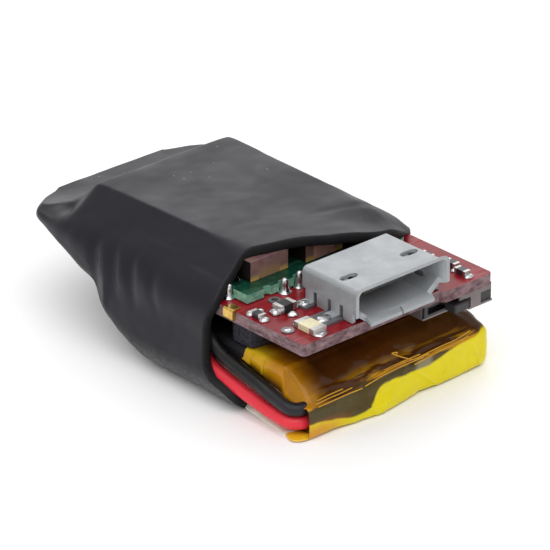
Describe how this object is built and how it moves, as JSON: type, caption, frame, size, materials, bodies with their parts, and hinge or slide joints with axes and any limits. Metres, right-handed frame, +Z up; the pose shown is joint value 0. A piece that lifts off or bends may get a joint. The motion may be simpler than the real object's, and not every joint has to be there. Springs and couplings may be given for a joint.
{
  "type": "lithium polymer battery pack",
  "caption": "Flat pouch cell and USB charging board in a heat-shrink sleeve, open at the socket end and pinched flat at the other, with a sliding power switch.",
  "frame": {"origin": "centre of the bounding box's bottom face, on the surface the pack lies on", "axes": "+Y from the charging socket to the closed tail of the sleeve, +Z up, +X to the right seen from the socket's side; the socket's mouth faces -Y"},
  "size_m": [0.0182, 0.0286, 0.0097],
  "materials": {
    "sleeve": "satin",
    "pouch_foil": "satin",
    "electrode": "matte",
    "nickel": "satin",
    "sealing_film": "matte",
    "protection_laminate": "satin",
    "polyimide": "gloss",
    "red_silicone": "satin",
    "black_silicone": "satin",
    "copper": "satin",
    "solder": "gloss",
    "foam": "matte",
    "board_red": "satin",
    "board_green": "satin",
    "gilt": "satin",
    "socket_steel": "satin",
    "socket_plastic": "matte",
    "tin": "satin",
    "package_black": "matte",
    "resistor_black": "satin",
    "lamp_cream": "satin",
    "capacitor_brown": "satin",
    "ferrite": "matte",
    "switch_plastic": "matte",
    "switch_steel": "satin"
  },
  "bodies": {
    "pack": {"heat_shrink_sleeve": "sleeve", "cell_pouch": "pouch_foil", "electrode_stack": "electrode", "positive_tab": "nickel", "negative_tab": "nickel", "tab_sealing_films": "sealing_film", "protection_board": "protection_laminate", "polyimide_tape": "polyimide", "red_lead_jacket": "red_silicone", "black_lead_jacket": "black_silicone", "red_lead_core": "copper", "black_lead_core": "copper", "protection_lead_solder": "solder", "board_lead_solder": "solder", "plated_eyelets": "solder", "socket_anchor_solder": "solder", "module_edge_solder": "solder", "switch_anchor_solder": "solder", "bare_jumper": "solder", "foam_pad": "foam", "charging_board": "board_red", "converter_board": "board_green", "edge_contact": "gilt", "bridge_fuse": "gilt", "socket_contacts": "gilt", "switch_terminals": "gilt", "socket_shell": "socket_steel", "socket_latches": "socket_steel", "socket_insulator": "socket_plastic", "chip_terminals": "tin", "protection_transistor": "package_black", "protection_controller": "package_black", "schottky_diode": "package_black", "converter_chip": "package_black", "charger_chip": "package_black", "chip_resistors": "resistor_black", "protection_chips": "resistor_black", "status_lamp": "lamp_cream", "ceramic_capacitors": "capacitor_brown", "inductor_core": "ferrite", "switch_base": "switch_plastic", "switch_cover": "switch_steel"},
    "slider": {"switch_slider": "switch_plastic", "switch_wiper": "gilt"}
  },
  "joints": [
    {"name": "switch_slide", "type": "slide", "parent": "pack", "child": "slider", "axis": [-1, 0, 0], "range_m": [0, 0.0015]}
  ]
}
